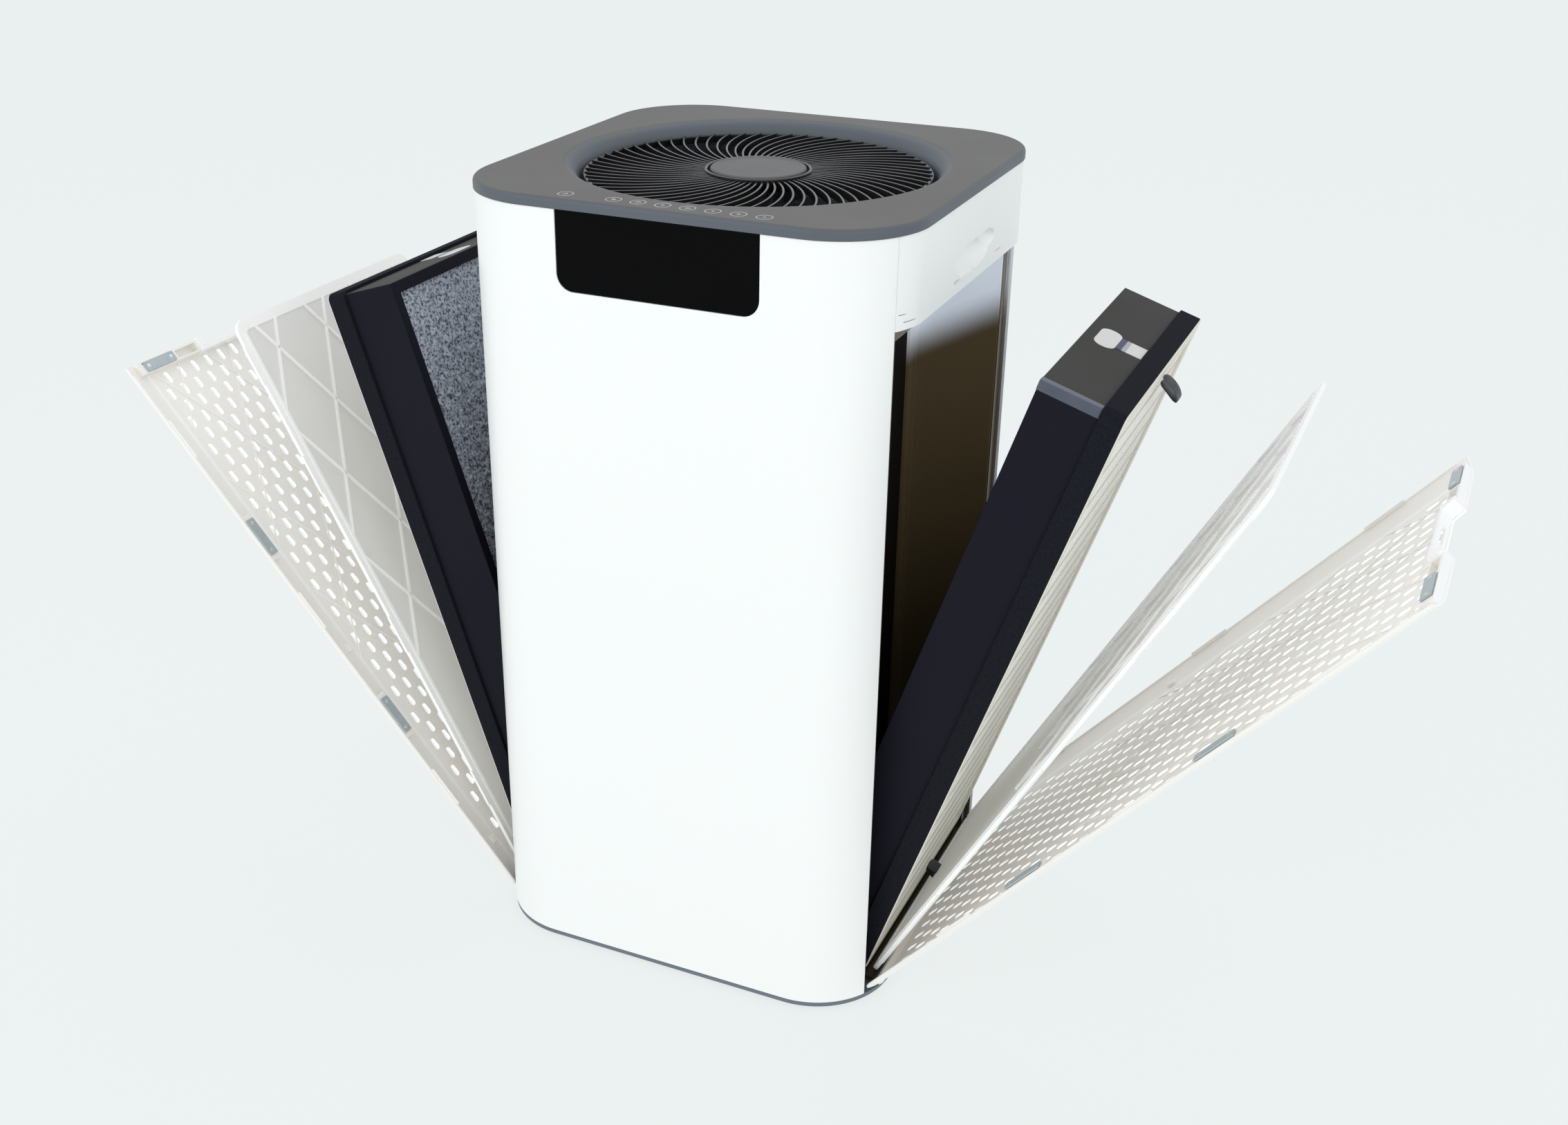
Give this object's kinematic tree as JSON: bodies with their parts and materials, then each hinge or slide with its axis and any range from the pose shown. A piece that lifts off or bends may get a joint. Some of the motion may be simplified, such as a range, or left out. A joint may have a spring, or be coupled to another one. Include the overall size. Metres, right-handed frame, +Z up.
{
  "type": "tower air purifier",
  "caption": "White square tower air purifier with a round swirl-fin air outlet on top, a dark display, and covers, pre-filters and filters fanned out from an opening on each side.",
  "frame": {"origin": "on the floor, under the centre of the tower", "axes": "+Z up; the display faces -Y; +X is to the right of someone facing the display"},
  "size_m": [1.1118, 0.362, 0.664],
  "materials": {
    "white_plastic": "satin",
    "cream_plastic": "satin",
    "grey_plastic": "fine matt texture",
    "black_plastic": "gloss",
    "display_glass": "polished",
    "dark_liner": "satin",
    "filter_board": "black-coated board and felt",
    "white_media": "pleated filter paper",
    "carbon": "granules behind a netting",
    "steel": "zinc plated",
    "rubber": "matt",
    "circuit_board": "solder mask",
    "black_fabric": "woven tape"
  },
  "bodies": {
    "tower": {"base_plate": "grey_plastic", "foot_front_left": "rubber", "foot_front_right": "rubber", "foot_rear_left": "rubber", "foot_rear_right": "rubber", "front_shell": "white_plastic", "rear_shell": "white_plastic", "display_window": "display_glass", "display_board": "circuit_board", "touch_key_board": "circuit_board", "top_plate": "grey_plastic", "outlet_grille": "black_plastic", "grille_cap": "grey_plastic", "fan_deck": "black_plastic", "motor_bracket": "steel", "motor": "steel", "power_inlet": "black_plastic", "air_quality_sensor": "black_plastic", "main_board": "circuit_board", "right_deck": "white_plastic", "right_bay_liner": "dark_liner", "right_intake_guard": "black_plastic", "right_strike_strip": "steel", "left_deck": "white_plastic", "left_bay_liner": "dark_liner", "left_intake_guard": "black_plastic", "left_strike_strip": "steel"},
    "right_cover": {"right_cover": "cream_plastic", "right_cover_magnet_front_1": "steel", "right_cover_magnet_front_2": "steel", "right_cover_magnet_front_top": "steel", "right_cover_magnet_rear_top": "steel"},
    "right_prefilter": {"right_prefilter_frame": "cream_plastic", "right_prefilter_mesh": "cream_plastic"},
    "right_filter": {"right_filter_frame": "filter_board", "right_pleated_media": "white_media", "right_carbon_panel": "carbon", "right_pull_tab_top": "black_fabric", "right_pull_tab_bottom": "black_fabric"},
    "left_cover": {"left_cover": "cream_plastic", "left_cover_magnet_front_1": "steel", "left_cover_magnet_front_2": "steel", "left_cover_magnet_front_top": "steel", "left_cover_magnet_rear_top": "steel"},
    "left_prefilter": {"left_prefilter_frame": "cream_plastic", "left_prefilter_mesh": "cream_plastic"},
    "left_filter": {"left_filter_frame": "filter_board", "left_pleated_media": "white_media", "left_carbon_panel": "carbon", "left_pull_tab_top": "black_fabric", "left_pull_tab_bottom": "black_fabric"},
    "fan": {"fan_rotor": "black_plastic", "motor_shaft": "steel", "rotor_nut": "steel"}
  },
  "joints": [
    {"name": "right_cover_tilt", "type": "hinge", "parent": "tower", "child": "right_cover", "pos_m": [0.1796, 0, 0.0078], "axis": [0, 1, 0], "range_deg": [-40.5, 0]},
    {"name": "right_prefilter_tilt", "type": "hinge", "parent": "tower", "child": "right_prefilter", "pos_m": [0.1715, 0, 0.015], "axis": [0, 1, 0], "range_deg": [-28.5, 0]},
    {"name": "right_filter_tilt", "type": "hinge", "parent": "tower", "child": "right_filter", "pos_m": [0.163, 0, 0.016], "axis": [0, 1, 0], "range_deg": [-18, 0]},
    {"name": "left_cover_tilt", "type": "hinge", "parent": "tower", "child": "left_cover", "pos_m": [-0.1796, 0, 0.0078], "axis": [0, -1, 0], "range_deg": [-40.5, 0]},
    {"name": "left_prefilter_tilt", "type": "hinge", "parent": "tower", "child": "left_prefilter", "pos_m": [-0.1715, 0, 0.015], "axis": [0, -1, 0], "range_deg": [-28.5, 0]},
    {"name": "left_filter_tilt", "type": "hinge", "parent": "tower", "child": "left_filter", "pos_m": [-0.163, 0, 0.016], "axis": [0, -1, 0], "range_deg": [-18, 0]},
    {"name": "fan_spin", "type": "hinge", "parent": "tower", "child": "fan", "pos_m": [0, 0, 0.61], "axis": [0, 0, 1], "continuous": true}
  ],
  "couplings": [
    {"joint": "right_prefilter_tilt", "follows": "right_cover_tilt", "ratio": 0.7037},
    {"joint": "right_filter_tilt", "follows": "right_cover_tilt", "ratio": 0.44444},
    {"joint": "left_prefilter_tilt", "follows": "left_cover_tilt", "ratio": 0.7037},
    {"joint": "left_filter_tilt", "follows": "left_cover_tilt", "ratio": 0.44444}
  ]
}
